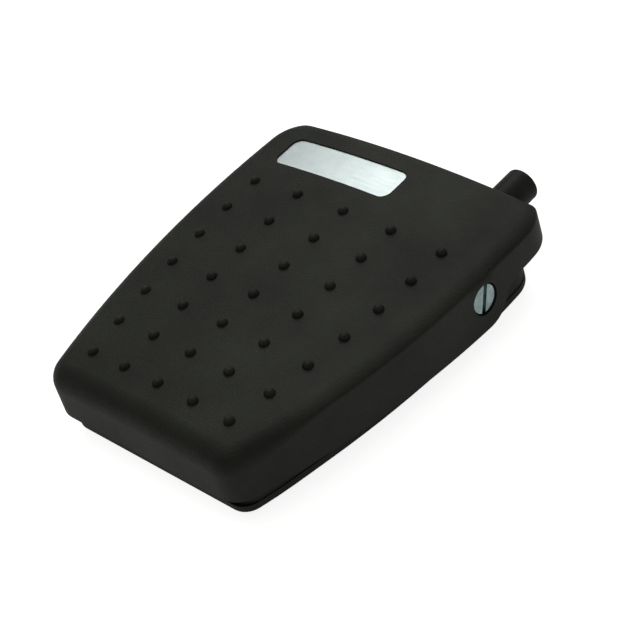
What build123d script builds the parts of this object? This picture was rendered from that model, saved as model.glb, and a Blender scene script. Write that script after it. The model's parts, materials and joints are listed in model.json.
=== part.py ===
from build123d import *
import math
import os

# Industrial foot switch: a moulded treadle hinged on two screws over an inset base.
# Millimetres. X is across the treadle, +Y is to the rear, +Z is up from the floor.

# Overall sizes
treadle_length = 92.6
treadle_width = 79.7
sleeve_reach = 11.5
foot_height = 1.5
overall_length = treadle_length + sleeve_reach
front_y = -overall_length / 2
rear_y = front_y + treadle_length

# Plan outline of the treadle at the foot of its skirt
side_radius = 231.0
widest_from_front = 71.8
front_corner_radius = 6.8
rear_corner_radius = 10.3
widest_y = front_y + widest_from_front

# Section of the treadle
crown_radius = 312.0
edge_roll = 5.0
draft = 1.5
wall = 1.8
roof_thickness = 2.2
rear_overrun = 3.0
rear_rim_radius = 0.8
lip_height = 10.2
cutter_margin = 6.0
skirt_spare = 0.3

# Pivot and travel
pivot_from_front = 68.7
pivot_height = 11.6
travel = 2.2
lobe_radius = 7.75
lobe_blend = 6.0
hem_lean = 2.9
ear_radius = 6.2
ear_thickness = 4.9
pivot_y = front_y + pivot_from_front
ear_face = treadle_width / 2 - ear_thickness

# Pivot screws and their inserts
head_radius = 3.5
head_thickness = 2.2
head_recess = 0.5
head_edge = 0.3
slot_width = 1.15
slot_depth = 1.1
slot_lean = 21.0
shoulder_radius = 2.5
thread_radius = 2.0
thread_length = 5.0
insert_radius = 2.6
insert_grooves = 2
insert_groove_width = 0.8
insert_groove_depth = 0.2

# Clearances between pieces
pivot_clearance = 0.06
counterbore_clearance = 0.25
face_gap = 0.3
thread_clearance = 0.05
seat_clearance = 0.1
ear_clearance = 0.7

# Domes of the tread pattern
dome_rows = 7
dome_columns = 5
dome_pitch = 10.0
first_row_from_front = 10.1
dome_radius = 1.28
dome_height = 1.15
outer_column_from_side = 11.65
outer_column_radius = 289.0
outer_column_widest_from_front = 74.1
outer_column_offset = treadle_width / 2 - outer_column_from_side

# Name plate and its pocket
plate_length = 35.4
plate_width = 9.4
plate_corner = 2.4
plate_thickness = 0.3
pocket_depth = 0.65
plate_from_side = 10.3
plate_from_front = 82.3
plate_x = plate_from_side + (plate_length - treadle_width) / 2

# Base moulding
floor_thickness = 2.0
base_side_inset = 2.2
base_front_inset = 2.1
base_rear_inset = 4.0
base_edge = 0.6
tray_side_inset = 2.4
tray_front_inset = 3.0
tray_wall = 1.6
front_wall_height = 6.0
rear_wall_height = 9.0
wall_step_from_front = 58.0

# Pivot posts of the base
post_width = 9.0
post_thickness = 6.0
post_rise = 3.3
post_face = ear_face - face_gap

# Return spring
spring_from_front = 23.5
spring_mean_radius = 4.0
spring_wire_radius = 0.45
spring_wire_sides = 8
spring_turns = 6.0
spring_spigot_radius = 2.8
spring_spigot_height = 3.0
spring_end_gap = 0.15

# Microswitch
case_length = 19.8
case_thickness = 6.4
case_height = 9.3
case_edge = 0.5
cover_thickness = 1.2
case_from_front = 36.6
case_ledge = 1.2
case_ledge_width = 1.8
case_hole_pitch = 0.48 * case_length
case_hole_height = 2.9
plunger_inset = 0.34 * case_length
plunger_width = 2.0
plunger_edge = 0.3
plunger_stroke = 0.4
plunger_rise = 1.1
plunger_depth = 3.0
plunger_clearance = 0.1
lever_thickness = 0.3
lever_width = 3.0
lever_root_inset = 1.0
lever_root_rise = 1.1
lever_tip_inset = 1.4
lever_slope = 2.5
lever_eye_radius = 0.75
lever_pin_radius = 0.4
lever_pin_clearance = 0.05
lever_lug_thickness = 0.7
lever_lug_gap = 0.2
lever_room = 4.25
actuator_gap = 0.2
actuator_length = 1.8
terminal_width = 2.4
terminal_thickness = 0.5
terminal_reach = 4.2
terminal_depth = 2.4
terminal_drop = 0.35
terminal_hole_radius = 0.6
common_from_rear = 0.12 * case_length
normally_open_from_rear = 0.445 * case_length
normally_closed_from_rear = 0.87 * case_length

# Small screws
switch_screw_radius = 1.1
switch_screw_head = (2.0, 1.3)
switch_screw_length = 10.0
switch_post_thickness = 5.0
clamp_screw_radius = 1.3
clamp_screw_head = (2.4, 1.4)
clamp_screw_length = 8.0
small_slot_width = 0.6
small_slot_depth = 0.7

# Cable sleeve and clamp
sleeve_from_side = 16.85
sleeve_height = 10.7
sleeve_radius = 4.1
sleeve_bore_radius = 2.6
sleeve_groove_radius = 3.4
sleeve_flange_radius = 5.0
sleeve_flange_length = 1.8
sleeve_edge = 0.6
arch_clearance = 0.7
cable_height = 8.6
clamp_from_front = 78.5
clamp_width = 5.0
clamp_span = 17.0
clamp_screw_pitch = 11.4
clamp_roof = 1.2
clamp_split_gap = 0.4

# Stops, feet and fixing holes
stop_from_front = 11.5
stop_from_wall = 6.6
stop_post_radius = 3.6
stop_post_height = 4.5
stop_pad_radius = 2.8
stop_pad_height = 2.0
stop_pad_edge = 0.5
stop_plug_radius = 1.4
stop_plug_length = 1.5
foot_radius = 5.0
foot_edge = 0.5
foot_seat_depth = 1.0
foot_from_side = 16.85
front_foot_from_front = 13.0
rear_foot_from_front = 79.0
fixing_hole_radius = 2.25
fixing_from_side = 14.85
fixing_from_front = 46.0
fixing_boss_radius = 4.5
fixing_boss_height = 1.5

# Ribs under the treadle
rib_thickness = 1.4
rib_depth = 2.0
ribs_from_front = 6.0
front_cross_rib_from_front = 33.8
cross_rib_behind_case = 3.2

# Places worked out from the sizes above
base_bottom = foot_height
floor_top = base_bottom + floor_thickness
case_bottom = floor_top + case_ledge
case_top = case_bottom + case_height
top_height = case_top + lever_room + roof_thickness
crown_centre = top_height - crown_radius
ceiling_radius = crown_radius - roof_thickness
skirt_foot = pivot_height - lobe_radius
head_face = treadle_width / 2 - head_recess
head_seat = head_face - head_thickness
spring_y = front_y + spring_from_front
stop_y = front_y + stop_from_front
stop_pad_seat = floor_top + stop_post_height
clamp_y = front_y + clamp_from_front
clamp_split = cable_height - clamp_split_gap / 2
clamp_top = cable_height + sleeve_bore_radius + clamp_roof
base_rear = rear_y - base_rear_inset
sleeve_x = treadle_width / 2 - sleeve_from_side
foot_x = treadle_width / 2 - foot_from_side
fixing_x = treadle_width / 2 - fixing_from_side
fixing_y = front_y + fixing_from_front
case_side = case_thickness / 2
case_front = front_y + case_from_front
case_rear = case_front + case_length
case_y = (case_front + case_rear) / 2
case_hole_z = case_bottom + case_hole_height
case_holes = [case_y - case_hole_pitch / 2, case_y + case_hole_pitch / 2]
mechanism_x = -cover_thickness / 2
plunger_y = case_rear - plunger_inset
lever_root_y = case_rear - lever_root_inset
lever_root_z = case_top + lever_root_rise
lever_tip_y = case_front + lever_tip_inset
lever_lean = math.radians(lever_slope)
lever_tip_z = lever_root_z + (lever_root_y - lever_tip_y) * math.tan(lever_lean)


def half_width_at(y, inset):
    """Half width of the bowed outline, set in by an even distance."""
    bow = math.sqrt((side_radius - inset) ** 2 - (y - widest_y) ** 2)
    return bow - (side_radius - treadle_width / 2)


def crown_at(x, radius):
    """Height of a crowned surface of this radius, off the centre line."""
    return crown_centre + math.sqrt(radius**2 - x**2)


def plan_outline(height, front, rear, inset, front_corner, rear_corner):
    """Plan outline at a height: straight ends, bowed sides, rounded corners."""
    front_half = half_width_at(front, inset)
    rear_half = half_width_at(rear, inset)
    widest = treadle_width / 2 - inset
    with BuildSketch(Plane.XY.offset(height)) as plan:
        with BuildLine():
            Line((-front_half, front), (front_half, front))
            ThreePointArc((front_half, front), (widest, widest_y), (rear_half, rear))
            Line((rear_half, rear), (-rear_half, rear))
            ThreePointArc((-rear_half, rear), (-widest, widest_y), (-front_half, front))
        make_face()
        fillet(plan.vertices().group_by(Axis.Y)[0], front_corner)
        fillet(plan.vertices().group_by(Axis.Y)[-1], rear_corner)
    return plan.sketch


def crown_cylinder(radius):
    """Long cylinder lying along the part, whose top is a crowned surface."""
    with BuildPart() as cylinder:
        with BuildSketch(Plane.XZ):
            with Locations((0, crown_centre)):
                Circle(radius)
        extrude(amount=overall_length, both=True)
    return cylinder.part


def crowned_block(front, rear, inset, radius, roll, front_corner, rear_corner):
    """Drafted block with a crowned top and a rolled top edge."""
    foot = skirt_foot - skirt_spare
    plan = plan_outline(foot, front, rear, inset, front_corner, rear_corner)
    with BuildPart() as block:
        extrude(plan, amount=top_height + cutter_margin - foot, taper=draft)
        add(crown_cylinder(radius), mode=Mode.INTERSECT)
        fillet(block.faces().sort_by(Axis.Z)[-1].edges(), roll)
    return block.part


def hem_profile():
    """Side view of what is cut away below the skirt, lobe and rear lip."""
    lean = math.radians(hem_lean)
    tangent_y = pivot_y - lobe_radius * math.sin(lean)
    tangent_z = pivot_height - lobe_radius * math.cos(lean)
    far_front = front_y - cutter_margin
    far_rear = rear_y + cutter_margin
    front_z = tangent_z + (tangent_y - far_front) * math.tan(lean)
    lip_angle = math.degrees(math.asin((lip_height - pivot_height) / lobe_radius))
    with BuildSketch(Plane.YZ) as hem:
        with BuildLine():
            lobe = CenterArc((pivot_y, pivot_height), lobe_radius, -90 - hem_lean, lip_angle + 90 + hem_lean)
            Polyline(lobe @ 1, (far_rear, lip_height), (far_rear, 0), (far_front, 0))
            Polyline((far_front, 0), (far_front, front_z), lobe @ 0)
        make_face()
        lip_start = pivot_y + lobe_radius * math.cos(math.radians(lip_angle))
        fillet(hem.vertices().sort_by_distance((lip_start, lip_height))[0], lobe_blend)
    return hem.sketch


def plate_prism(inset):
    """Upright prism of the name plate's outline, let in by a distance."""
    with BuildPart() as prism:
        with BuildSketch(Plane.XY.offset(top_height - cutter_margin)):
            with Locations((plate_x, front_y + plate_from_front)):
                RectangleRounded(plate_length - 2 * inset, plate_width - 2 * inset, plate_corner - inset)
        extrude(amount=2 * cutter_margin)
    return prism.part


def slotted_screw(plane, shank_radius, shank_length, cap_radius, cap_height):
    """Screw whose slotted cap stands on a plane, with its shank behind the plane."""
    with BuildPart() as screw:
        with BuildSketch(plane):
            Circle(cap_radius)
        extrude(amount=cap_height)
        fillet(screw.faces().sort_by(Axis(plane.origin, plane.z_dir))[-1].edges(), head_edge)
        with BuildSketch(plane.offset(cap_height)):
            Rectangle(small_slot_width, 3 * cap_radius)
        extrude(amount=-small_slot_depth, mode=Mode.SUBTRACT)
        with BuildSketch(plane):
            Circle(shank_radius)
        extrude(amount=-shank_length)
    return screw.part


def microswitch_slab(x, thickness):
    """Slab of the microswitch's side outline, with its two mounting holes."""
    with BuildPart() as slab:
        with BuildSketch(Plane.YZ.offset(x)):
            with Locations((case_y, (case_bottom + case_top) / 2)):
                RectangleRounded(case_length, case_height, case_edge)
            with Locations(*[(y, case_hole_z) for y in case_holes]):
                Circle(switch_screw_radius + seat_clearance, mode=Mode.SUBTRACT)
        extrude(amount=thickness)
    return slab.part


def terminal_strip(from_rear):
    """Terminal that leaves the case downwards and turns sideways to its eye."""
    y = case_rear - from_rear
    tab_bottom = floor_top + terminal_drop
    tab_end = case_side + terminal_reach
    inner_x = mechanism_x - terminal_thickness / 2
    with BuildPart() as strip:
        with BuildSketch(Plane.XY.offset(tab_bottom)):
            with Locations(((inner_x + tab_end) / 2, y)):
                Rectangle(tab_end - inner_x, terminal_width)
            with Locations((tab_end - terminal_width / 2, y)):
                Circle(terminal_hole_radius, mode=Mode.SUBTRACT)
        extrude(amount=terminal_thickness)
        with BuildSketch(Plane.XY.offset(tab_bottom)):
            with Locations((mechanism_x, y)):
                Rectangle(terminal_thickness, terminal_width)
        extrude(amount=case_bottom + terminal_depth - tab_bottom)
    return strip.part


stop_x = half_width_at(stop_y, tray_side_inset + tray_wall) - stop_from_wall
rib_x = stop_x
rib_rear = case_rear + cross_rib_behind_case
cross_ribs = (front_y + front_cross_rib_from_front, rib_rear)
rib_front = front_y + ribs_from_front

# Treadle
outer_block = crowned_block(
    front_y, rear_y + rear_overrun, 0, crown_radius, edge_roll, front_corner_radius, rear_corner_radius
)
inner_block = crowned_block(
    front_y + wall,
    rear_y - wall,
    wall,
    ceiling_radius,
    edge_roll - wall,
    front_corner_radius - wall,
    rear_corner_radius - wall,
)
plate_pocket = plate_prism(0) - crown_cylinder(crown_radius - pocket_depth)

with BuildPart() as ears:
    with BuildSketch(Plane.YZ.offset(ear_face)):
        with Locations((pivot_y, pivot_height)):
            Circle(ear_radius)
    extrude(amount=ear_thickness)
    mirror(about=Plane.YZ)
    add(outer_block, mode=Mode.INTERSECT)

with BuildPart() as ribs:
    with BuildSketch(Plane.XY.offset(crown_at(rib_x, ceiling_radius) - rib_depth)):
        with Locations(*[(side * rib_x, (rib_front + rib_rear) / 2) for side in (-1, 1)]):
            Rectangle(rib_thickness, rib_rear - rib_front)
        with Locations(*[(0, y) for y in cross_ribs]):
            Rectangle(treadle_width, rib_thickness)
    extrude(amount=top_height)
    stop_drop = (pivot_y - stop_y) * math.sin(math.radians(travel))
    with BuildSketch(Plane.XY.offset(stop_pad_seat + stop_pad_height + stop_drop + face_gap)):
        with Locations((-stop_x, stop_y), (stop_x, stop_y)):
            Circle(stop_pad_radius)
    extrude(amount=top_height)
    with BuildSketch(Plane.XY.offset(lever_tip_z + lever_thickness / 2 + actuator_gap)):
        with Locations((mechanism_x, lever_tip_y + actuator_length / 2)):
            Rectangle(lever_width, actuator_length)
    extrude(amount=top_height)
    with BuildSketch(Plane.XY.offset(crown_at(0, ceiling_radius) - spring_spigot_height)):
        with Locations((0, spring_y)):
            Circle(spring_spigot_radius)
    extrude(amount=top_height)
    add(inner_block, mode=Mode.INTERSECT)

with BuildPart() as dome:
    dome_ball = (dome_radius**2 + dome_height**2) / (2 * dome_height)
    with BuildSketch(Plane.XY.offset(-roof_thickness / 2)):
        Circle(dome_radius)
    extrude(amount=roof_thickness)
    with Locations((0, 0, dome_height - dome_ball)):
        Sphere(dome_ball, mode=Mode.INTERSECT)

dome_places = []
for row in range(dome_rows):
    row_from_front = first_row_from_front + row * dome_pitch
    reach = row_from_front - outer_column_widest_from_front
    outer_x = outer_column_offset - outer_column_radius + math.sqrt(outer_column_radius**2 - reach**2)
    for column in range(dome_columns):
        x = outer_x * (2 * column / (dome_columns - 1) - 1)
        dome_places.append((x, front_y + row_from_front, crown_at(x, crown_radius)))

with BuildPart() as treadle:
    add(outer_block)
    split(bisect_by=Plane.XZ.offset(-rear_y), keep=Keep.TOP)
    fillet(treadle.faces().sort_by(Axis.Y)[-1].edges().sort_by(Axis.Z)[1:], rear_rim_radius)
    add(inner_block, mode=Mode.SUBTRACT)
    add(ears.part)
    add(ribs.part)
    extrude(hem_profile(), amount=treadle_width, both=True, mode=Mode.SUBTRACT)
    with BuildSketch(Plane.YZ):
        with Locations((pivot_y, pivot_height)):
            Circle(shoulder_radius + pivot_clearance)
    extrude(amount=treadle_width, both=True, mode=Mode.SUBTRACT)
    for side in (-1, 1):
        with BuildSketch(Plane.YZ.offset(side * (head_seat - face_gap))):
            with Locations((pivot_y, pivot_height)):
                Circle(head_radius + counterbore_clearance)
        extrude(amount=side * cutter_margin, mode=Mode.SUBTRACT)
    with BuildSketch(Plane.XZ.offset(2 * wall - rear_y)):
        with Locations((sleeve_x, sleeve_height)):
            Circle(sleeve_radius + arch_clearance)
        with Locations((sleeve_x, sleeve_height / 2)):
            Rectangle(2 * (sleeve_radius + arch_clearance), sleeve_height)
    extrude(amount=-2 * cutter_margin, mode=Mode.SUBTRACT)
    add(plate_pocket, mode=Mode.SUBTRACT)
    with Locations(*dome_places):
        add(dome.part)
treadle.part.label = "treadle"

# Name plate
with BuildPart() as name_plate:
    add(plate_prism(seat_clearance))
    add(crown_cylinder(crown_radius - pocket_depth + plate_thickness), mode=Mode.INTERSECT)
    add(crown_cylinder(crown_radius - pocket_depth), mode=Mode.SUBTRACT)
name_plate.part.label = "name_plate"

# Pivot screws: slotted cheese head, plain shoulder for the ear to turn on, thread
with BuildPart() as pivot_screw_right:
    with BuildSketch(Plane.YZ.offset(head_seat)):
        with Locations((pivot_y, pivot_height)):
            Circle(head_radius)
    extrude(amount=head_thickness)
    fillet(pivot_screw_right.faces().sort_by(Axis.X)[-1].edges(), head_edge)
    with BuildSketch(Plane.YZ.offset(head_face)):
        with Locations((pivot_y, pivot_height)):
            Rectangle(slot_width, 3 * head_radius, rotation=-slot_lean)
    extrude(amount=-slot_depth, mode=Mode.SUBTRACT)
    with BuildSketch(Plane.YZ.offset(post_face)):
        with Locations((pivot_y, pivot_height)):
            Circle(shoulder_radius)
    extrude(amount=head_seat - post_face)
    with BuildSketch(Plane.YZ.offset(post_face)):
        with Locations((pivot_y, pivot_height)):
            Circle(thread_radius)
    extrude(amount=-thread_length)
pivot_screw_right.part.label = "pivot_screw_right"

with BuildPart() as pivot_screw_left:
    mirror(pivot_screw_right.part, about=Plane.YZ)
pivot_screw_left.part.label = "pivot_screw_left"

# Threaded inserts in the pivot posts, grooved to hold in the plastic
with BuildPart() as pivot_insert_right:
    with BuildSketch(Plane.YZ.offset(post_face - thread_length)):
        with Locations((pivot_y, pivot_height)):
            Circle(insert_radius)
            Circle(thread_radius + thread_clearance, mode=Mode.SUBTRACT)
    extrude(amount=thread_length)
    for groove in range(insert_grooves):
        groove_x = post_face - thread_length * (groove + 1) / (insert_grooves + 1)
        with BuildSketch(Plane.YZ.offset(groove_x - insert_groove_width / 2)):
            with Locations((pivot_y, pivot_height)):
                Circle(insert_radius)
                Circle(insert_radius - insert_groove_depth, mode=Mode.SUBTRACT)
        extrude(amount=insert_groove_width, mode=Mode.SUBTRACT)
pivot_insert_right.part.label = "pivot_insert_right"

with BuildPart() as pivot_insert_left:
    mirror(pivot_insert_right.part, about=Plane.YZ)
pivot_insert_left.part.label = "pivot_insert_left"

# Base: floor plate, tray wall, pivot posts and the seats of what it carries
plate_corners = (front_corner_radius - base_side_inset, rear_corner_radius - base_side_inset)
room_corners = (plate_corners[0] - tray_wall, plate_corners[1] - tray_wall)
floor_plan = plan_outline(base_bottom, front_y + base_front_inset, base_rear, base_side_inset, *plate_corners)
tray_front = front_y + tray_front_inset
tray_plan = plan_outline(floor_top, tray_front, base_rear, tray_side_inset, *plate_corners)
tray_room = plan_outline(
    floor_top, tray_front + tray_wall, base_rear - tray_wall, tray_side_inset + tray_wall, *room_corners
)
notch_radius = ear_radius + ear_clearance

with BuildPart() as base:
    extrude(floor_plan, amount=floor_thickness)
    fillet(base.faces().sort_by(Axis.Z)[0].edges(), base_edge)
    extrude(tray_plan, amount=rear_wall_height)
    extrude(tray_room, amount=rear_wall_height, mode=Mode.SUBTRACT)
    with BuildSketch(Plane.XY.offset(floor_top + front_wall_height)):
        with Locations((0, front_y + wall_step_from_front / 2)):
            Rectangle(treadle_width, wall_step_from_front)
    extrude(amount=rear_wall_height, mode=Mode.SUBTRACT)
    for side in (-1, 1):
        with BuildSketch(Plane.YZ.offset(side * post_face)):
            with Locations((pivot_y, pivot_height)):
                Circle(notch_radius)
            with Locations((pivot_y, pivot_height + notch_radius / 2)):
                Rectangle(2 * notch_radius, notch_radius)
        extrude(amount=side * cutter_margin, mode=Mode.SUBTRACT)
        with BuildSketch(Plane.YZ.offset(side * post_face)):
            post_centre = (floor_top + pivot_height + post_rise) / 2
            with Locations((pivot_y, post_centre)):
                Rectangle(post_width, 2 * (pivot_height + post_rise - post_centre))
            with Locations((pivot_y, pivot_height)):
                Circle(insert_radius, mode=Mode.SUBTRACT)
        extrude(amount=-side * post_thickness)
    with BuildSketch(Plane.XY.offset(floor_top)):
        with Locations((0, spring_y)):
            Circle(spring_spigot_radius)
    extrude(amount=spring_spigot_height)
    with BuildSketch(Plane.XY.offset(floor_top)):
        with Locations((case_ledge_width / 2 - case_side, case_y)):
            Rectangle(case_ledge_width, case_length)
    extrude(amount=case_ledge)
    with BuildSketch(Plane.YZ.offset(-case_side)):
        switch_post_height = case_hole_z + case_hole_height - floor_top
        with Locations((case_y, floor_top + switch_post_height / 2)):
            Rectangle(case_length, switch_post_height)
        with Locations(*[(y, case_hole_z) for y in case_holes]):
            Circle(switch_screw_radius + thread_clearance, mode=Mode.SUBTRACT)
    extrude(amount=-switch_post_thickness)
    with BuildSketch(Plane.XY.offset(floor_top)):
        with Locations((-stop_x, stop_y), (stop_x, stop_y)):
            Circle(stop_post_radius)
            Circle(stop_plug_radius + seat_clearance, mode=Mode.SUBTRACT)
    extrude(amount=stop_post_height)
    with BuildSketch(Plane.XY.offset(floor_top)):
        with Locations((-fixing_x, fixing_y), (fixing_x, fixing_y)):
            Circle(fixing_boss_radius)
    extrude(amount=fixing_boss_height)
    with BuildSketch(Plane.XY.offset(base_bottom)):
        with Locations((-fixing_x, fixing_y), (fixing_x, fixing_y)):
            Circle(fixing_hole_radius)
    extrude(amount=floor_thickness + fixing_boss_height, mode=Mode.SUBTRACT)
    foot_places = [
        (side * foot_x, front_y + distance)
        for side in (-1, 1)
        for distance in (front_foot_from_front, rear_foot_from_front)
    ]
    with BuildSketch(Plane.XY.offset(base_bottom)):
        with Locations(*foot_places):
            Circle(foot_radius + seat_clearance)
    extrude(amount=foot_seat_depth, mode=Mode.SUBTRACT)
    clamp_holes = [(sleeve_x + side * clamp_screw_pitch / 2, clamp_y) for side in (-1, 1)]
    with BuildSketch(Plane.XY.offset(floor_top)):
        with Locations((sleeve_x, clamp_y)):
            Rectangle(clamp_span, clamp_width)
        with Locations(*clamp_holes):
            Circle(clamp_screw_radius + thread_clearance, mode=Mode.SUBTRACT)
    extrude(amount=clamp_split - floor_top)
    with BuildSketch(Plane.XZ.offset(-clamp_y)):
        with Locations((sleeve_x, cable_height)):
            Circle(sleeve_bore_radius)
    extrude(amount=clamp_width, both=True, mode=Mode.SUBTRACT)
    with BuildSketch(Plane.XZ.offset(-base_rear - seat_clearance)):
        with Locations((sleeve_x, sleeve_height)):
            Circle(sleeve_groove_radius + seat_clearance)
        with Locations((sleeve_x, sleeve_height + sleeve_radius)):
            Rectangle(2 * (sleeve_groove_radius + seat_clearance), 2 * sleeve_radius)
    extrude(amount=tray_wall + 2 * seat_clearance, mode=Mode.SUBTRACT)
base.part.label = "base"

# Return spring
with BuildPart() as return_spring:
    spring_bottom = floor_top + spring_wire_radius
    spring_ceiling = crown_at(spring_mean_radius + spring_wire_radius, ceiling_radius)
    spring_height = spring_ceiling - spring_end_gap - spring_wire_radius - spring_bottom
    coil = Helix(
        pitch=spring_height / spring_turns,
        height=spring_height,
        radius=spring_mean_radius,
        center=(0, spring_y, spring_bottom),
    )
    with BuildSketch(Plane(origin=coil @ 0, z_dir=coil % 0)):
        RegularPolygon(spring_wire_radius, spring_wire_sides)
    sweep(path=coil, is_frenet=True)
return_spring.part.label = "return_spring"

# Microswitch: case with two lugs and the lever's pin, and its flat cover
with BuildPart() as microswitch_case:
    add(microswitch_slab(-case_side, case_thickness - cover_thickness))
    well_width = plunger_width + 2 * plunger_clearance
    with BuildSketch(Plane.XY.offset(case_top - plunger_depth - plunger_stroke - plunger_clearance)):
        with Locations((mechanism_x, plunger_y)):
            Rectangle(well_width, well_width)
    extrude(amount=case_height, mode=Mode.SUBTRACT)
    with BuildSketch(Plane.XY.offset(case_bottom)):
        for from_rear in (common_from_rear, normally_open_from_rear, normally_closed_from_rear):
            with Locations((mechanism_x, case_rear - from_rear)):
                Rectangle(terminal_thickness, terminal_width)
    extrude(amount=terminal_depth, mode=Mode.SUBTRACT)
    lug_inner = lever_width / 2 + lever_lug_gap
    for side in (-1, 1):
        with BuildSketch(Plane.YZ.offset(mechanism_x + side * lug_inner)):
            with Locations((lever_root_y, lever_root_z)):
                Circle(lever_eye_radius)
            with Locations((lever_root_y, lever_root_z - lever_root_rise / 2)):
                Rectangle(2 * lever_eye_radius, lever_root_rise)
        extrude(amount=side * lever_lug_thickness)
    with BuildSketch(Plane.YZ.offset(mechanism_x - lug_inner)):
        with Locations((lever_root_y, lever_root_z)):
            Circle(lever_pin_radius)
    extrude(amount=2 * lug_inner)
microswitch_case.part.label = "microswitch_case"

with BuildPart() as microswitch_cover:
    add(microswitch_slab(case_side - cover_thickness, cover_thickness))
microswitch_cover.part.label = "microswitch_cover"

with BuildPart() as microswitch_plunger:
    with BuildSketch(Plane.XY.offset(case_top - plunger_depth)):
        with Locations((mechanism_x, plunger_y)):
            Rectangle(plunger_width, plunger_width)
    extrude(amount=plunger_depth + plunger_rise)
    fillet(microswitch_plunger.faces().sort_by(Axis.Z)[-1].edges(), plunger_edge)
microswitch_plunger.part.label = "microswitch_plunger"

with BuildPart() as microswitch_lever:
    with BuildSketch(Plane.YZ.offset(mechanism_x)):
        with BuildLine():
            blade = Line((lever_root_y, lever_root_z), (lever_tip_y, lever_tip_z))
            offset(blade, amount=lever_thickness / 2, side=Side.BOTH)
        make_face()
        with Locations((lever_root_y, lever_root_z)):
            Circle(lever_eye_radius)
            Circle(lever_pin_radius + lever_pin_clearance, mode=Mode.SUBTRACT)
    extrude(amount=lever_width / 2, both=True)
microswitch_lever.part.label = "microswitch_lever"

# Terminals
with BuildPart() as common_terminal:
    add(terminal_strip(common_from_rear))
common_terminal.part.label = "common_terminal"

with BuildPart() as normally_open_terminal:
    add(terminal_strip(normally_open_from_rear))
normally_open_terminal.part.label = "normally_open_terminal"

with BuildPart() as normally_closed_terminal:
    add(terminal_strip(normally_closed_from_rear))
normally_closed_terminal.part.label = "normally_closed_terminal"

# Screws that hold the microswitch to its post
with BuildPart() as switch_screws:
    for y in case_holes:
        seat = Plane(origin=(case_side, y, case_hole_z), z_dir=(1, 0, 0))
        add(slotted_screw(seat, switch_screw_radius, switch_screw_length, *switch_screw_head))
switch_screws.part.label = "switch_screws"

# Cable sleeve: tube with a groove for the rear wall and a flange inside it
with BuildPart() as cable_sleeve:
    groove_rear = base_rear + seat_clearance
    groove_front = base_rear - tray_wall - seat_clearance
    sleeve_end = front_y + overall_length
    with BuildSketch(Plane.XZ.offset(-groove_rear)):
        with Locations((sleeve_x, sleeve_height)):
            Circle(sleeve_radius)
    extrude(amount=groove_rear - sleeve_end)
    fillet(cable_sleeve.faces().sort_by(Axis.Y)[-1].edges(), sleeve_edge)
    with BuildSketch(Plane.XZ.offset(-groove_rear)):
        with Locations((sleeve_x, sleeve_height)):
            Circle(sleeve_groove_radius)
    extrude(amount=groove_rear - groove_front)
    with BuildSketch(Plane.XZ.offset(-groove_front)):
        with Locations((sleeve_x, sleeve_height)):
            Circle(sleeve_flange_radius)
    extrude(amount=sleeve_flange_length)
    with BuildSketch(Plane.XZ.offset(-sleeve_end)):
        with Locations((sleeve_x, sleeve_height)):
            Circle(sleeve_bore_radius)
    extrude(amount=overall_length, mode=Mode.SUBTRACT)
cable_sleeve.part.label = "cable_sleeve"

# Cable clamp and its screws
with BuildPart() as cable_clamp:
    with BuildSketch(Plane.XY.offset(clamp_split + clamp_split_gap)):
        with Locations((sleeve_x, clamp_y)):
            Rectangle(clamp_span, clamp_width)
        with Locations(*clamp_holes):
            Circle(clamp_screw_radius + seat_clearance, mode=Mode.SUBTRACT)
    extrude(amount=clamp_top - clamp_split - clamp_split_gap)
    with BuildSketch(Plane.XZ.offset(-clamp_y)):
        with Locations((sleeve_x, cable_height)):
            Circle(sleeve_bore_radius)
    extrude(amount=clamp_width, both=True, mode=Mode.SUBTRACT)
cable_clamp.part.label = "cable_clamp"

with BuildPart() as clamp_screws:
    for x, y in clamp_holes:
        seat = Plane(origin=(x, y, clamp_top), z_dir=(0, 0, 1))
        add(slotted_screw(seat, clamp_screw_radius, clamp_screw_length, *clamp_screw_head))
clamp_screws.part.label = "clamp_screws"

# Rubber stop pads, plugged into their posts
with BuildPart() as stop_pads:
    with BuildSketch(Plane.XY.offset(stop_pad_seat)):
        with Locations((-stop_x, stop_y), (stop_x, stop_y)):
            Circle(stop_pad_radius)
    extrude(amount=stop_pad_height)
    fillet(stop_pads.faces().group_by(Axis.Z)[-1].edges(), stop_pad_edge)
    with BuildSketch(Plane.XY.offset(stop_pad_seat)):
        with Locations((-stop_x, stop_y), (stop_x, stop_y)):
            Circle(stop_plug_radius)
    extrude(amount=-stop_plug_length)
stop_pads.part.label = "stop_pads"

# Rubber feet, seated in the underside of the base
with BuildPart() as rubber_feet:
    with BuildSketch(Plane.XY):
        with Locations(*foot_places):
            Circle(foot_radius)
    extrude(amount=foot_height + foot_seat_depth)
    fillet(rubber_feet.faces().group_by(Axis.Z)[0].edges(), foot_edge)
rubber_feet.part.label = "rubber_feet"

pieces = [
    treadle,
    name_plate,
    pivot_screw_right,
    pivot_screw_left,
    pivot_insert_right,
    pivot_insert_left,
    base,
    return_spring,
    microswitch_case,
    microswitch_cover,
    microswitch_plunger,
    microswitch_lever,
    common_terminal,
    normally_open_terminal,
    normally_closed_terminal,
    switch_screws,
    cable_sleeve,
    cable_clamp,
    clamp_screws,
    stop_pads,
    rubber_feet,
]

os.makedirs("parts", exist_ok=True)
for piece in pieces:
    export_step(piece.part, f"parts/{piece.part.label}.step")
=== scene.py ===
import json
import math

import bmesh
import bpy
from mathutils import Matrix, Vector

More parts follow.
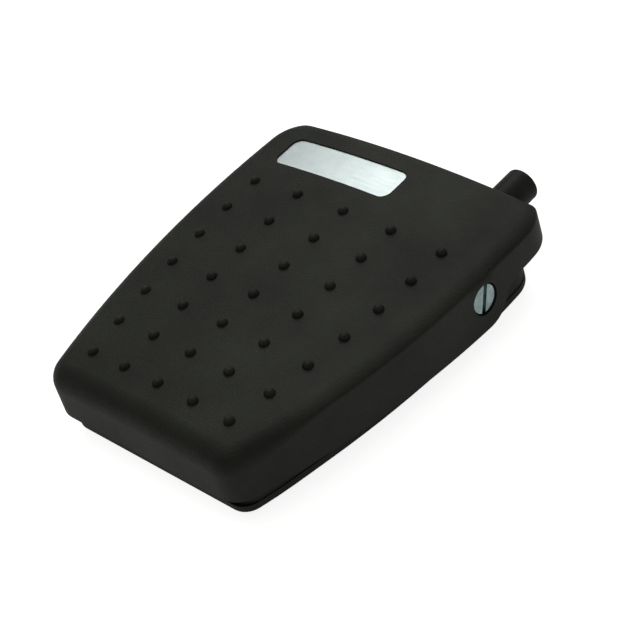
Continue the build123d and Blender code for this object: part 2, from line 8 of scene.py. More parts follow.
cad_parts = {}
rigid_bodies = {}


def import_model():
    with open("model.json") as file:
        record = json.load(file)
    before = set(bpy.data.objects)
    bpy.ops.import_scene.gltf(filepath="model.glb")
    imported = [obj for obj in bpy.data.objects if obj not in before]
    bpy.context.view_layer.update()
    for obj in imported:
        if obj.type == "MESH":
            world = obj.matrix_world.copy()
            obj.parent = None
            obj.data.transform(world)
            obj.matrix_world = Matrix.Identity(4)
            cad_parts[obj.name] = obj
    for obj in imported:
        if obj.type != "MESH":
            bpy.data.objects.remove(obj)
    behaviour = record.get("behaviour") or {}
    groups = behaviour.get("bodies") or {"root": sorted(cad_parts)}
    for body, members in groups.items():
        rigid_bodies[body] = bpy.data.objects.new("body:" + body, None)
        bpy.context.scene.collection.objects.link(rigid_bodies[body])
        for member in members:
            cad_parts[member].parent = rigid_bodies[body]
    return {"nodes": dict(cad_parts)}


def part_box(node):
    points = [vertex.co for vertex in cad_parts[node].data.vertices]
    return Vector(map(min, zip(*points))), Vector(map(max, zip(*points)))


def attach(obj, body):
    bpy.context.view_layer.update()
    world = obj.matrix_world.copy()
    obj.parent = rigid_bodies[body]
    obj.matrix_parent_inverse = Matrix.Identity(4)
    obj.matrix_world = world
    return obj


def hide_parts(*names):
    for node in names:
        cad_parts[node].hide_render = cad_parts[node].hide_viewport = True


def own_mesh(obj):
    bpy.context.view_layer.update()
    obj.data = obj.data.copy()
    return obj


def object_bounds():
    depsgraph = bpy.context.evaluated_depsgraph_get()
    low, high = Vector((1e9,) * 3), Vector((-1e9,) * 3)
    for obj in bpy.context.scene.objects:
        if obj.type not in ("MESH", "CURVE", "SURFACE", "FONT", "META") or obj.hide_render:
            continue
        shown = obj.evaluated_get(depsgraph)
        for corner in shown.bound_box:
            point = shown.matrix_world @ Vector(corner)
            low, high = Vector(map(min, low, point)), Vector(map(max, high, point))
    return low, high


for leftover in list(bpy.data.objects):
    bpy.data.objects.remove(leftover)
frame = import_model()
bpy.context.view_layer.update()
cad_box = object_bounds()

# Base moulding
# A shallow ABS tray that carries every other piece, with the bar that clamps the cable. Both
# are injection moulded in black with a fine spark-eroded texture, slightly duller than the
# treadle. The tray's long sides draw in a little at mid length.


def new_group(name, inputs, outputs):
    """Empty shader node group with named sockets, each with its type and starting value."""
    group = bpy.data.node_groups.new(name, "ShaderNodeTree")
    for label, kind, value in inputs:
        group.interface.new_socket(label, in_out="INPUT", socket_type=kind).default_value = value
    for label, kind in outputs:
        group.interface.new_socket(label, in_out="OUTPUT", socket_type=kind)
    return group, group.nodes.new("NodeGroupInput"), group.nodes.new("NodeGroupOutput")


def add_maths(tree, operation, first, second):
    """Maths node whose two inputs are each a socket or a number."""
    node = tree.nodes.new("ShaderNodeMath")
    node.operation = operation
    for socket, value in zip(node.inputs, (first, second)):
        if isinstance(value, bpy.types.NodeSocket):
            tree.links.new(value, socket)
        else:
            socket.default_value = value
    return node.outputs[0]


def add_noise(tree, coordinates, scale, detail, roughness):
    """Noise texture on these coordinates; scale is a socket or a number per metre."""
    node = tree.nodes.new("ShaderNodeTexNoise")
    tree.links.new(coordinates, node.inputs["Vector"])
    if isinstance(scale, bpy.types.NodeSocket):
        tree.links.new(scale, node.inputs["Scale"])
    else:
        node.inputs["Scale"].default_value = scale
    node.inputs["Detail"].default_value = detail
    node.inputs["Roughness"].default_value = roughness
    return node.outputs["Fac"]


def add_range(tree, value, limits, outcome=(0.0, 1.0)):
    """Spreads a value between two limits over a new range, clamped."""
    node = tree.nodes.new("ShaderNodeMapRange")
    tree.links.new(value, node.inputs["Value"])
    for label, number in zip(("From Min", "From Max", "To Min", "To Max"), (*limits, *outcome)):
        node.inputs[label].default_value = number
    return node.outputs["Result"]


def add_mix(tree, factor, first, second):
    """Mixes two colours by a factor."""
    node = tree.nodes.new("ShaderNodeMix")
    node.data_type = "RGBA"
    tree.links.new(factor, node.inputs["Factor"])
    for label, colour in (("A", first), ("B", second)):
        socket = [s for s in node.inputs if s.name == label and s.type == "RGBA"][0]
        socket.default_value = (*colour, 1)
    return [s for s in node.outputs if s.type == "RGBA"][0]


def spark_texture_group():
    """Pebbled texture of a spark-eroded mould, with slow patches of flow and handling."""
    pebble_share = 0.55
    height_limits = (0.35, 1.15)
    patch_limits = (0.32, 0.68)
    fleck_limits = (0.56, 0.74)
    group, given, made = new_group(
        "spark texture",
        [
            ("Pebbles per metre", "NodeSocketFloat", 2600.0),
            ("Patches per metre", "NodeSocketFloat", 45.0),
        ],
        [
            ("Height", "NodeSocketFloat"),
            ("Patch", "NodeSocketFloat"),
            ("Fleck", "NodeSocketFloat"),
        ],
    )
    place = group.nodes.new("ShaderNodeTexCoord").outputs["Object"]
    pebbles = group.nodes.new("ShaderNodeTexVoronoi")
    pebbles.feature = "SMOOTH_F1"
    group.links.new(place, pebbles.inputs["Vector"])
    group.links.new(given.outputs["Pebbles per metre"], pebbles.inputs["Scale"])
    fine = add_noise(group, place, given.outputs["Pebbles per metre"], detail=3.0, roughness=0.65)
    round_pebbles = add_maths(group, "MULTIPLY", pebbles.outputs["Distance"], pebble_share)
    height = add_maths(group, "ADD", round_pebbles, fine)
    group.links.new(add_range(group, height, height_limits), made.inputs["Height"])
    slow = add_noise(group, place, given.outputs["Patches per metre"], detail=4.0, roughness=0.6)
    group.links.new(add_range(group, slow, patch_limits), made.inputs["Patch"])
    group.links.new(add_range(group, fine, fleck_limits), made.inputs["Fleck"])
    return group


def edge_rub_group():
    """Where feet and hands burnish rolled edges: slopes between upright and level, broken up."""
    level_fade = (0.98, 0.80)
    upright_fade = (0.25, 0.60)
    scuff_limits = (0.42, 0.66)
    group, given, made = new_group(
        "edge rub",
        [("Scuffs per metre", "NodeSocketFloat", 220.0)],
        [("Mask", "NodeSocketFloat")],
    )
    place = group.nodes.new("ShaderNodeTexCoord").outputs["Object"]
    facing = group.nodes.new("ShaderNodeNewGeometry").outputs["Normal"]
    normal = group.nodes.new("ShaderNodeSeparateXYZ")
    group.links.new(facing, normal.inputs["Vector"])
    rise = add_maths(group, "ABSOLUTE", normal.outputs["Z"], 0.0)
    upper = add_range(group, rise, level_fade)
    lower = add_range(group, rise, upright_fade)
    slope = add_maths(group, "MULTIPLY", upper, lower)
    scuffs = add_noise(group, place, given.outputs["Scuffs per metre"], detail=5.0, roughness=0.7)
    broken = add_range(group, scuffs, scuff_limits)
    group.links.new(add_maths(group, "MULTIPLY", slope, broken), made.inputs["Mask"])
    return group


spark_texture = spark_texture_group()
edge_rub = edge_rub_group()


def new_finish(name):
    """New node material with its Principled shader."""
    material = bpy.data.materials.new(name)
    material.use_nodes = True
    return material, material.node_tree, material.node_tree.nodes["Principled BSDF"]


def place_group(tree, group, **values):
    """Places a node group in a material with its own values."""
    node = tree.nodes.new("ShaderNodeGroup")
    node.node_tree = group
    for label, value in values.items():
        node.inputs[label.replace("_", " ")].default_value = value
    return node.outputs


def add_bump(tree, shader, height, distance, strength):
    """Bumps the shader's surface by a height."""
    bump = tree.nodes.new("ShaderNodeBump")
    bump.inputs["Distance"].default_value = distance
    bump.inputs["Strength"].default_value = strength
    tree.links.new(height, bump.inputs["Height"])
    tree.links.new(bump.outputs["Normal"], shader.inputs["Normal"])


def moulded_plastic(name, pits, peaks, roughness, gloss, pebbles_per_metre, depth):
    """Textured black moulding: pits and peaks are the colours of its low and high spots."""
    patch_share = 0.55
    fleck_share = 0.45
    mottle_roughness = 0.03
    rub_roughness = -0.08
    material, tree, shader = new_finish(name)
    texture = place_group(tree, spark_texture, Pebbles_per_metre=pebbles_per_metre)
    rub = place_group(tree, edge_rub)["Mask"]
    patches = add_maths(tree, "MULTIPLY", texture["Patch"], patch_share)
    flecks = add_maths(tree, "MULTIPLY", texture["Fleck"], fleck_share)
    tone = add_maths(tree, "ADD", patches, flecks)
    tree.links.new(add_mix(tree, tone, pits, peaks), shader.inputs["Base Color"])
    worn = add_maths(tree, "MULTIPLY", rub, rub_roughness)
    mottled = (roughness + mottle_roughness, roughness - mottle_roughness)
    mottle = add_range(tree, texture["Patch"], (0.0, 1.0), mottled)
    tree.links.new(add_maths(tree, "ADD", mottle, worn), shader.inputs["Roughness"])
    shader.inputs["Specular IOR Level"].default_value = gloss
    add_bump(tree, shader, texture["Height"], depth, strength=0.6)
    return material


def dress(node, material):
    """Gives a CAD node its finish."""
    piece = frame["nodes"][node]
    piece.data.materials.clear()
    piece.data.materials.append(material)


base_finish = moulded_plastic(
    "base plastic",
    pits=(0.0095, 0.0106, 0.0070),
    peaks=(0.0165, 0.0180, 0.0125),
    roughness=0.62,
    gloss=0.30,
    pebbles_per_metre=2200.0,
    depth=0.00009,
)
dress("cable_clamp", base_finish)

waist_share = 0.0105
waist_from = (-0.044, -0.030)
waist_until = (0.000, 0.010)


def ramp(value, limits):
    """Rises from 0 to 1 between two limits, with soft ends."""
    share = min(max((value - limits[0]) / (limits[1] - limits[0]), 0.0), 1.0)
    return share * share * (3 - 2 * share)


def mesh_of(node, material):
    """Object with a copy of a CAD node's mesh in its own finish, and the mesh's shading normals."""
    mesh = frame["nodes"][node].data.copy()
    mesh.name = node + "_shell"
    mesh.materials.clear()
    mesh.materials.append(material)
    shell = bpy.data.objects.new(node + "_shell", mesh)
    bpy.context.scene.collection.objects.link(shell)
    return shell, [Vector(normal.vector) for normal in mesh.corner_normals]


base_shell, base_normals = mesh_of("base", base_finish)
for vertex in base_shell.data.vertices:
    waist = ramp(vertex.co.y, waist_from) * (1 - ramp(vertex.co.y, waist_until))
    vertex.co.x *= 1 - waist_share * waist
base_shell.data.normals_split_custom_set(base_normals)
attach(base_shell, "root")
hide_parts("base")

# Rubber feet and stop pads
# Moulded nitrile buttons pressed into seats in the base. The feet grip the floor and the
# pads stop the treadle, so both are dull and carry a little pale dust.


def pad_rubber():
    """Dull rubber with dust caught in its surface."""
    clean = (0.014, 0.014, 0.014)
    dusty = (0.060, 0.058, 0.054)
    roughness_limits = (0.72, 0.90)
    material, tree, shader = new_finish("pad rubber")
    texture = place_group(tree, spark_texture, Pebbles_per_metre=1500.0, Patches_per_metre=160.0)
    dust = add_maths(tree, "MULTIPLY", texture["Patch"], texture["Fleck"])
    tree.links.new(add_mix(tree, dust, clean, dusty), shader.inputs["Base Color"])
    dulled = add_range(tree, dust, (0.0, 1.0), roughness_limits)
    tree.links.new(dulled, shader.inputs["Roughness"])
    shader.inputs["Specular IOR Level"].default_value = 0.30
    add_bump(tree, shader, texture["Height"], distance=0.00008, strength=0.5)
    return material


pad_finish = pad_rubber()
dress("rubber_feet", pad_finish)
dress("stop_pads", pad_finish)

# Pivot inserts
# Turned brass bushes with a tapped bore, pressed into the two posts of the base.
# The lathe leaves fine rings round their axis.


def add_vector_maths(tree, operation, first, second):
    """Vector maths node with two linked inputs."""
    node = tree.nodes.new("ShaderNodeVectorMath")
    node.operation = operation
    tree.links.new(first, node.inputs[0])
    tree.links.new(second, node.inputs[1])
    return node.outputs[0]


def turned_rings_group():
    """Rings that a lathe leaves round an axis through a centre, in the plane that Across keeps."""
    stains_per_metre = 900.0
    stain_limits = (0.40, 0.70)
    group, given, made = new_group(
        "turned rings",
        [
            ("Centre", "NodeSocketVector", (0.0, 0.0, 0.0)),
            ("Across", "NodeSocketVector", (0.0, 1.0, 1.0)),
            ("Rings per metre", "NodeSocketFloat", 7000.0),
        ],
        [("Height", "NodeSocketFloat"), ("Stain", "NodeSocketFloat")],
    )
    place = group.nodes.new("ShaderNodeTexCoord").outputs["Object"]
    moved = add_vector_maths(group, "SUBTRACT", place, given.outputs["Centre"])
    flat = add_vector_maths(group, "MULTIPLY", moved, given.outputs["Across"])
    reach = group.nodes.new("ShaderNodeVectorMath")
    reach.operation = "LENGTH"
    group.links.new(flat, reach.inputs[0])
    count = add_maths(group, "MULTIPLY", reach.outputs["Value"], given.outputs["Rings per metre"])
    along = group.nodes.new("ShaderNodeCombineXYZ")
    group.links.new(count, along.inputs["X"])
    rings = add_noise(group, along.outputs["Vector"], scale=1.0, detail=2.0, roughness=0.5)
    group.links.new(rings, made.inputs["Height"])
    stain = add_noise(group, place, stains_per_metre, detail=4.0, roughness=0.6)
    group.links.new(add_range(group, stain, stain_limits), made.inputs["Stain"])
    return group


turned_rings = turned_rings_group()


def turned_metal(name, bright, dull, roughness, centre, across, rings_per_metre, depth):
    """Turned metal: bright where clean, dull where stained, with rings round its axis."""
    stain_roughness = 0.14
    material, tree, shader = new_finish(name)
    marks = place_group(
        tree, turned_rings, Centre=centre, Across=across, Rings_per_metre=rings_per_metre
    )
    tree.links.new(add_mix(tree, marks["Stain"], bright, dull), shader.inputs["Base Color"])
    stained = (roughness, roughness + stain_roughness)
    dulled = add_range(tree, marks["Stain"], (0.0, 1.0), stained)
    tree.links.new(dulled, shader.inputs["Roughness"])
    shader.inputs["Metallic"].default_value = 1.0
    add_bump(tree, shader, marks["Height"], depth, strength=0.5)
    return material


insert_low, insert_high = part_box("pivot_insert_right")
pivot_centre = (0.0, (insert_low.y + insert_high.y) / 2, (insert_low.z + insert_high.z) / 2)
round_pivot = (0, 1, 1)
insert_finish = turned_metal(
    "turned brass",
    bright=(0.72, 0.52, 0.22),
    dull=(0.46, 0.33, 0.15),
    roughness=0.30,
    centre=pivot_centre,
    across=round_pivot,
    rings_per_metre=9000.0,
    depth=0.00001,
)
dress("pivot_insert_right", insert_finish)
dress("pivot_insert_left", insert_finish)

# Microswitch
# A subminiature snap-action switch: a phenolic case and cover, a red plunger, a sheet-steel
# lever over it and three silver-plated terminals. Two small screws hold it to its post.


def switch_phenolic():
    """Hard satin moulding with faint flow marks."""
    dark = (0.020, 0.020, 0.022)
    light = (0.034, 0.034, 0.036)
    roughness_limits = (0.36, 0.48)
    material, tree, shader = new_finish("switch phenolic")
    texture = place_group(tree, spark_texture, Pebbles_per_metre=5200.0, Patches_per_metre=240.0)
    tree.links.new(add_mix(tree, texture["Patch"], dark, light), shader.inputs["Base Color"])
    satin = add_range(tree, texture["Fleck"], (0.0, 1.0), roughness_limits)
    tree.links.new(satin, shader.inputs["Roughness"])
    add_bump(tree, shader, texture["Height"], distance=0.00002, strength=0.4)
    return material


def plunger_nylon():
    """Red glossy nylon, paler where the lever rubs it."""
    red = (0.36, 0.022, 0.018)
    rubbed = (0.55, 0.10, 0.08)
    roughness_limits = (0.28, 0.42)
    material, tree, shader = new_finish("plunger nylon")
    rub = place_group(tree, edge_rub, Scuffs_per_metre=1500.0)["Mask"]
    tree.links.new(add_mix(tree, rub, red, rubbed), shader.inputs["Base Color"])
    dulled = add_range(tree, rub, (0.0, 1.0), roughness_limits)
    tree.links.new(dulled, shader.inputs["Roughness"])
    return material


def rolled_metal_group():
    """Fine straight marks that rolling leaves in sheet, along one axis."""
    stains_per_metre = 260.0
    stain_limits = (0.36, 0.70)
    group, given, made = new_group(
        "rolling marks",
        [
            ("Stretch", "NodeSocketVector", (1.0, 0.03, 1.0)),
            ("Marks per metre", "NodeSocketFloat", 4000.0),
        ],
        [("Height", "NodeSocketFloat"), ("Stain", "NodeSocketFloat")],
    )
    place = group.nodes.new("ShaderNodeTexCoord").outputs["Object"]
    drawn = add_vector_maths(group, "MULTIPLY", place, given.outputs["Stretch"])
    marks = add_noise(group, drawn, given.outputs["Marks per metre"], detail=3.0, roughness=0.6)
    group.links.new(marks, made.inputs["Height"])
    stain = add_noise(group, place, stains_per_metre, detail=4.0, roughness=0.6)
    group.links.new(add_range(group, stain, stain_limits), made.inputs["Stain"])
    return group


rolling_marks = rolled_metal_group()


def rolled_metal(name, bright, dull, roughness, stretch, marks_per_metre, depth):
    """Sheet metal with rolling marks along its length."""
    grain_limits = (0.3, 0.7)
    smoothest = -0.05
    roughest = 0.08
    material, tree, shader = new_finish(name)
    marks = place_group(tree, rolling_marks, Stretch=stretch, Marks_per_metre=marks_per_metre)
    tree.links.new(add_mix(tree, marks["Stain"], bright, dull), shader.inputs["Base Color"])
    grained = (roughness + smoothest, roughness + roughest)
    grain = add_range(tree, marks["Height"], grain_limits, grained)
    tree.links.new(grain, shader.inputs["Roughness"])
    shader.inputs["Metallic"].default_value = 1.0
    add_bump(tree, shader, marks["Height"], depth, strength=0.5)
    return material


phenolic_finish = switch_phenolic()
terminal_finish = rolled_metal(
    "silver plate",
    bright=(0.80, 0.79, 0.75),
    dull=(0.58, 0.55, 0.48),
    roughness=0.26,
    stretch=(0.03, 1.0, 1.0),
    marks_per_metre=5000.0,
    depth=0.000008,
)
lever_finish = rolled_metal(
    "spring sheet",
    bright=(0.56, 0.56, 0.57),
    dull=(0.40, 0.40, 0.42),
    roughness=0.24,
    stretch=(1.0, 0.03, 1.0),
    marks_per_metre=6000.0,
    depth=0.000008,
)
dress("microswitch_case", phenolic_finish)
dress("microswitch_cover", phenolic_finish)
dress("microswitch_plunger", plunger_nylon())
dress("microswitch_lever", lever_finish)
for terminal in ("common_terminal", "normally_open_terminal", "normally_closed_terminal"):
    dress(terminal, terminal_finish)

# Small screws
# Slotted pan-head screws, zinc plated, that hold the microswitch and the cable clamp.
# Their plating is blue-white with a few dull stains.


def zinc_plate(name, centre, across):
    """Blue-white zinc plating over a turned head."""
    return turned_metal(
        name,
        bright=(0.40, 0.50, 0.51),
        dull=(0.28, 0.36, 0.36),
        roughness=0.30,
        centre=centre,
        across=across,
        rings_per_metre=5200.0,
        depth=0.000012,
    )


small_screw_finish = zinc_plate("small screw zinc", centre=(0.0, 0.0, 0.0), across=(1, 1, 1))
dress("switch_screws", small_screw_finish)
dress("clamp_screws", small_screw_finish)

# Cable sleeve
# A short tube of flexible black PVC whose groove snaps into the base's rear wall.
# It is smoother than the mouldings, with soft streaks along it from the die.


def sleeve_vinyl():
    """Satin vinyl with long soft streaks."""
    dark = (0.0200, 0.0205, 0.0192)
    light = (0.0290, 0.0298, 0.0278)
    streak_limits = (0.3, 0.7)
    roughness_limits = (0.42, 0.52)
    material, tree, shader = new_finish("sleeve vinyl")
    streaks = place_group(tree, rolling_marks, Stretch=(1.0, 0.02, 1.0), Marks_per_metre=900.0)
    texture = place_group(tree, spark_texture, Pebbles_per_metre=4200.0, Patches_per_metre=200.0)
    tree.links.new(add_mix(tree, texture["Patch"], dark, light), shader.inputs["Base Color"])
    streaked = add_range(tree, streaks["Height"], streak_limits, roughness_limits)
    tree.links.new(streaked, shader.inputs["Roughness"])
    shader.inputs["Specular IOR Level"].default_value = 0.10
    add_bump(tree, shader, streaks["Height"], distance=0.00006, strength=0.5)
    return material


dress("cable_sleeve", sleeve_vinyl())

# Return spring
# A compression coil of drawn steel wire between the base and the treadle, with its end
# turns closed. It shortens as the treadle goes down; here it is built at its rest length on the
# base.

spring_low, spring_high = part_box("return_spring")
wire_radius = 0.00045
coil_radius = (spring_high.x - spring_low.x) / 2 - wire_radius
coil_centre = (spring_low + spring_high) / 2
open_turns = 5.0
closed_turns = 1.0
steps_per_turn = 48
wire_sides = 12


def coil_rise(turn):
    """Height of the wire's centre at a turn: level in the closed ends, even between them."""
    closed_rise = closed_turns * 2 * wire_radius
    free_rise = spring_high.z - spring_low.z - 2 * wire_radius - 2 * closed_rise
    start = spring_low.z + wire_radius
    if turn < closed_turns:
        return start + turn * 2 * wire_radius
    if turn > closed_turns + open_turns:
        past = turn - closed_turns - open_turns
        return start + closed_rise + free_rise + past * 2 * wire_radius
    return start + closed_rise + free_rise * (turn - closed_turns) / open_turns


def coil_wire():
    """Mesh of the spring's wire."""
    wire = bmesh.new()
    rings = []
    turns = open_turns + 2 * closed_turns
    for step in range(int(turns * steps_per_turn) + 1):
        turn = step / steps_per_turn
        angle = 2 * math.pi * turn
        outward = Vector((math.cos(angle), math.sin(angle), 0))
        centre = Vector((coil_centre.x, coil_centre.y, coil_rise(turn))) + outward * coil_radius
        ring = []
        for side in range(wire_sides):
            around = 2 * math.pi * side / wire_sides
            rise = Vector((0, 0, wire_radius * math.sin(around)))
            ring.append(wire.verts.new(centre + outward * wire_radius * math.cos(around) + rise))
        rings.append(ring)
    for ring, following in zip(rings, rings[1:]):
        for side in range(wire_sides):
            after = (side + 1) % wire_sides
            wire.faces.new((ring[side], following[side], following[after], ring[after]))
    wire.faces.new(rings[0])
    wire.faces.new(list(reversed(rings[-1])))
    bmesh.ops.recalc_face_normals(wire, faces=wire.faces)
    mesh = bpy.data.meshes.new("return_spring_wire")
    wire.to_mesh(mesh)
    wire.free()
    for face in mesh.polygons:
        face.use_smooth = len(face.vertices) == 4
    return mesh


wire_finish = rolled_metal(
    "drawn wire",
    bright=(0.60, 0.60, 0.61),
    dull=(0.42, 0.42, 0.43),
    roughness=0.26,
    stretch=(1.0, 1.0, 1.0),
    marks_per_metre=3000.0,
    depth=0.000008,
)
spring = bpy.data.objects.new("return_spring_wire", coil_wire())
bpy.context.scene.collection.objects.link(spring)
spring.data.materials.append(wire_finish)
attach(spring, "root")
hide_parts("return_spring")
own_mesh(spring)

# Treadle
# The one moulding that the foot presses: black ABS, crowned, with rolled edges and rows of grip
# domes, lightly burnished by use. Its right edge rolls flatter above and tighter below than its
# left, and its right rear corner stands out a little more.

bow_radius = 0.231
bow_centre = Vector((-0.19115, 0.01975))
rear_corner_radius = 0.0103
rear_corner_centre = Vector((0.029137, 0.03325))
rear_face_y = 0.04054
crown_radius = 0.312
crown_top = 0.02045
skirt_draft = math.tan(math.radians(1.5))
skirt_base = 0.00355
cad_roll = 0.005
edge_reach = 0.0037
upper_roll = 0.0075
lower_roll = 0.0010
lower_share = 0.5
narrow_from = (-0.046, -0.026)
narrow_until = (0.72, 0.95)
surface_depth = (0.0009, 0.0016)
stray = 0.0002
skin = 0.00006
end_slack = 0.02
corner_swell = 0.00045
corner_from_x = 0.030
corner_from_y = (0.022, 0.032)
hinge_centre = Vector((0.01665, 0.0116))
counterbore_radius = 0.0039
counterbore_rim = 0.0001


def turned(direction, angle):
    """Direction in the section turned up from the side towards the crown."""
    cosine, sine = math.cos(angle), math.sin(angle)
    across = direction.x * cosine - direction.y * sine
    return Vector((across, direction.x * sine + direction.y * cosine))


def edge_section(x, y):
    """Upright section through the treadle's edge beside a point: its origin, outward
    direction, virtual corner and the outward normals of the side and the crown there."""
    origin, radius = bow_centre, bow_radius
    if y > rear_corner_centre.y:
        origin, radius = rear_corner_centre, rear_corner_radius
    outward = (Vector((x, y)) - origin).normalized()
    rise = crown_top
    settling_rounds = 4
    for _ in range(settling_rounds):
        reach = radius - (rise - skirt_base) * skirt_draft
        across = origin.x + reach * outward.x
        rise = crown_top - crown_radius + math.sqrt(crown_radius**2 - across**2)
    lean = across / math.sqrt(crown_radius**2 - across**2) * outward.x
    side_normal = Vector((1, skirt_draft)).normalized()
    return origin, outward, Vector((reach, rise)), side_normal, Vector((lean, 1)).normalized()


def edge_curve(share, corner, side_normal, spread):
    """Point and outward normal on the side's edge, from the side at 0 to the crown at 1:
    a tight round at the side that runs on into a flatter one at the crown."""
    upward = turned(side_normal, math.pi / 2)
    crown_end = corner + turned(upward, spread) * edge_reach
    upper_centre = crown_end - turned(side_normal, spread) * upper_roll
    across = -lower_roll - (upper_centre - corner).dot(side_normal)
    climb = math.sqrt((upper_roll - lower_roll) ** 2 - across**2)
    lower_centre = upper_centre + side_normal * across + upward * climb
    join_angle = math.atan2(climb, across)
    if share < lower_share:
        normal = turned(side_normal, join_angle * share / lower_share)
        return lower_centre + normal * lower_roll, normal
    along = (share - lower_share) / (1 - lower_share)
    normal = turned(side_normal, join_angle + (spread - join_angle) * along)
    return upper_centre + normal * upper_roll, normal


def edge_place(point):
    """Where a point of the CAD's rolled edge goes, its new normal and its depth, or None."""
    if point.x < 0 or (point.y > rear_corner_centre.y and point.x < rear_corner_centre.x):
        return None
    origin, outward, corner, side_normal, crown_normal = edge_section(point.x, point.y)
    spread = side_normal.angle(crown_normal)
    weight = ramp(point.y, narrow_from)
    if point.y > rear_corner_centre.y:
        weight = 1 - ramp(outward.y, narrow_until)
    bisector = (side_normal + crown_normal).normalized()
    centre = corner - bisector * (cad_roll / math.cos(spread / 2))
    flat = Vector(((Vector((point.x, point.y)) - origin).dot(outward), point.z))
    spoke = flat - centre
    turn = math.atan2(side_normal.cross(spoke), side_normal.dot(spoke))
    depth = cad_roll - spoke.length
    if weight <= 0 or not -end_slack < turn < spread + end_slack:
        return None
    if not -stray < depth < surface_depth[1]:
        return None
    if (Vector((point.y, point.z)) - hinge_centre).length < counterbore_radius:
        if depth > counterbore_rim:
            return None
        flush = origin + outward * (corner.x + (corner.y - point.z) * skirt_draft)
        side_facing = Vector((1, 0, skirt_draft)).normalized()
        return Vector((flush.x, point.y, point.z)), side_facing, depth
    share = min(max(turn / spread, 0.0), 1.0)
    surface, normal = edge_curve(share, corner, side_normal, spread)
    shift = (surface - centre - spoke * (cad_roll / spoke.length)) * weight
    moved = flat + shift * (1 - ramp(depth, surface_depth))
    normal = (spoke.normalized() * (1 - weight) + normal * weight).normalized()
    placed = origin + outward * moved.x
    reached_y = point.y if point.y > rear_face_y else placed.y
    level_normal = outward * normal.x
    return Vector((placed.x, reached_y, moved.y)), Vector((*level_normal, normal.y)), depth


treadle_finish = moulded_plastic(
    "treadle plastic",
    pits=(0.0070, 0.0078, 0.0050),
    peaks=(0.0240, 0.0262, 0.0192),
    roughness=0.58,
    gloss=0.30,
    pebbles_per_metre=2300.0,
    depth=0.00013,
)
treadle_shell, treadle_normals = mesh_of("treadle", treadle_finish)
places = {}
for vertex in treadle_shell.data.vertices:
    place = edge_place(vertex.co)
    if place:
        places[vertex.index] = place
for face in treadle_shell.data.polygons:
    if all(index in places and abs(places[index][2]) < skin for index in face.vertices):
        for corner in face.loop_indices:
            _, normal, _ = places[treadle_shell.data.loops[corner].vertex_index]
            treadle_normals[corner] = normal
for index, (position, _, _) in places.items():
    treadle_shell.data.vertices[index].co = position
for vertex in treadle_shell.data.vertices:
    if vertex.co.x > corner_from_x:
        vertex.co.x += corner_swell * ramp(vertex.co.y, corner_from_y)
treadle_shell.data.normals_split_custom_set(treadle_normals)
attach(treadle_shell, "treadle")
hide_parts("treadle")

# Name plate
# A bare plate of thin satin aluminium, stuck down in a shallow pocket of the treadle.
# Its brushed lines run along its length.

plate_finish = rolled_metal(
    "satin aluminium",
    bright=(0.72, 0.78, 0.82),
    dull=(0.64, 0.70, 0.74),
    roughness=0.42,
    stretch=(0.02, 1.0, 1.0),
    marks_per_metre=5200.0,
    depth=0.000006,
)
dress("name_plate", plate_finish)

# Pivot screws
# Slotted cheese-head shoulder screws, turned and zinc plated. They stand a little inside
# the treadle's counterbores and screw into the brass inserts.

pivot_screw_finish = zinc_plate("pivot screw zinc", centre=pivot_centre, across=round_pivot)
dress("pivot_screw_right", pivot_screw_finish)
dress("pivot_screw_left", pivot_screw_finish)

# Floor and lights
# A plain white table under a soft studio light from behind on the left, with a weak fill.
# The table shows white to the camera and in reflections, and keeps a faint shadow.

floor_reach = 3.0
floor_colour = (0.80, 0.80, 0.80)
floor_glow = 0.85
floor_mirrored = 0.27
floor_mesh = bpy.data.meshes.new("studio_floor")
floor_mesh.from_pydata(
    [(x * floor_reach, y * floor_reach, 0) for x, y in ((-1, -1), (1, -1), (1, 1), (-1, 1))],
    [],
    [(0, 1, 2, 3)],
)
floor = bpy.data.objects.new("studio_floor", floor_mesh)
bpy.context.scene.collection.objects.link(floor)
floor_material, floor_tree, floor_shader = new_finish("studio white")
floor_shader.inputs["Base Color"].default_value = (*floor_colour, 1)
floor_shader.inputs["Roughness"].default_value = 0.9
floor_shader.inputs["Specular IOR Level"].default_value = 0.0
floor_shader.inputs["Emission Color"].default_value = (1, 1, 1, 1)
light_path = floor_tree.nodes.new("ShaderNodeLightPath")
through = light_path.outputs["Is Transmission Ray"]
seen = add_maths(floor_tree, "MAXIMUM", light_path.outputs["Is Camera Ray"], through)
shown = add_maths(floor_tree, "MULTIPLY", seen, floor_glow)
glossy = light_path.outputs["Is Glossy Ray"]
mirrored = add_maths(floor_tree, "MULTIPLY", glossy, floor_mirrored)
glow = add_maths(floor_tree, "MAXIMUM", shown, mirrored)
floor_tree.links.new(glow, floor_shader.inputs["Emission Strength"])
floor.data.materials.append(floor_material)

studio_tint = (0.97, 1.0, 0.93)
world_strength = 0.22
world = bpy.data.worlds.new("studio")
bpy.context.scene.world = world
world.use_nodes = True
world_light = world.node_tree.nodes["Background"]
world_light.inputs["Color"].default_value = (*studio_tint, 1)
world_light.inputs["Strength"].default_value = world_strength


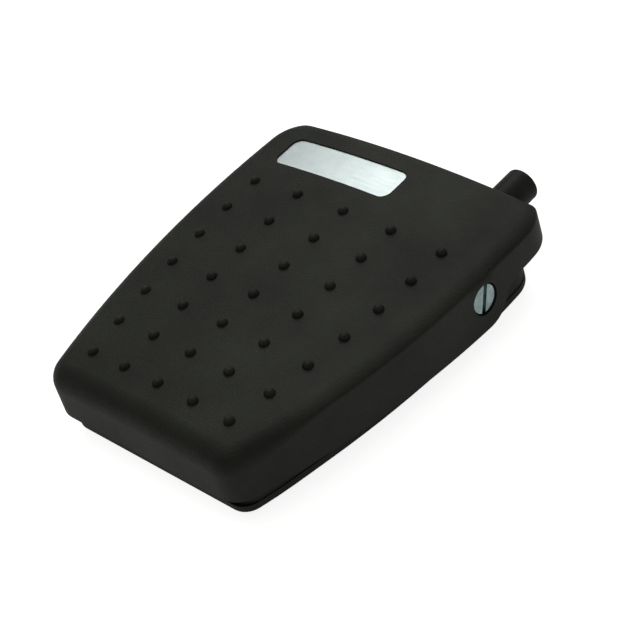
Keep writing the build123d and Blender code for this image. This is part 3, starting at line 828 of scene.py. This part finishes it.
def direction_of(bearing, height):
    """Direction outwards from the switch at a bearing from its toe and a height, in degrees."""
    turn = math.radians(bearing)
    rise = math.radians(height)
    level_share = math.cos(rise)
    return Vector((math.sin(turn) * level_share, -math.cos(turn) * level_share, math.sin(rise)))


def add_softbox(name, target, bearing, height, distance, size, power):
    """Square studio lamp that looks at a point from a bearing and a height, in degrees."""
    lamp = bpy.data.lights.new(name, "AREA")
    lamp.shape = "SQUARE"
    lamp.size = size
    lamp.energy = power
    lamp.color = studio_tint
    holder = bpy.data.objects.new(name, lamp)
    out = direction_of(bearing, height)
    holder.location = target + out * distance
    holder.rotation_mode = "QUATERNION"
    holder.rotation_quaternion = out.to_track_quat("Z", "Y")
    bpy.context.scene.collection.objects.link(holder)


middle = (cad_box[0] + cad_box[1]) / 2
add_softbox(
    "rear_left_softbox", middle, bearing=214.0, height=46.0, distance=2.6, size=1.5, power=17.5
)
add_softbox("top_fill", middle, bearing=300.0, height=75.0, distance=1.2, size=0.8, power=1.6)

# Camera
# It looks down on the switch from the front right, leaning a little, at the distance
# where the treadle's edges converge as they should.

camera_bearing = 53.8743
camera_height = 41.0929
camera_lean = math.radians(-18.2442)
camera_distance = 0.378985
camera_target = Vector((0.018518, -0.010862, 0.020001))
focal_share = 2.83309
sensor_width = 36.0

back = direction_of(camera_bearing, camera_height)
level_turn = math.radians(camera_bearing)
level = Vector((math.cos(level_turn), math.sin(level_turn), 0))
upright = back.cross(level)
right = level * math.cos(camera_lean) + upright * math.sin(camera_lean)
up = upright * math.cos(camera_lean) - level * math.sin(camera_lean)

camera_data = bpy.data.cameras.new("camera")
camera_data.sensor_width = sensor_width
camera_data.lens = focal_share * sensor_width
camera_data.clip_start = 0.01
camera_data.clip_end = 20.0
camera = bpy.data.objects.new("camera", camera_data)
camera_turn = Matrix((right, up, back)).transposed().to_4x4()
camera.matrix_world = Matrix.Translation(camera_target + back * camera_distance) @ camera_turn
bpy.context.scene.collection.objects.link(camera)
bpy.context.scene.camera = camera
bpy.context.scene.view_settings.view_transform = "Standard"

# Last update
# The view layer is brought up to date.

bpy.context.view_layer.update()
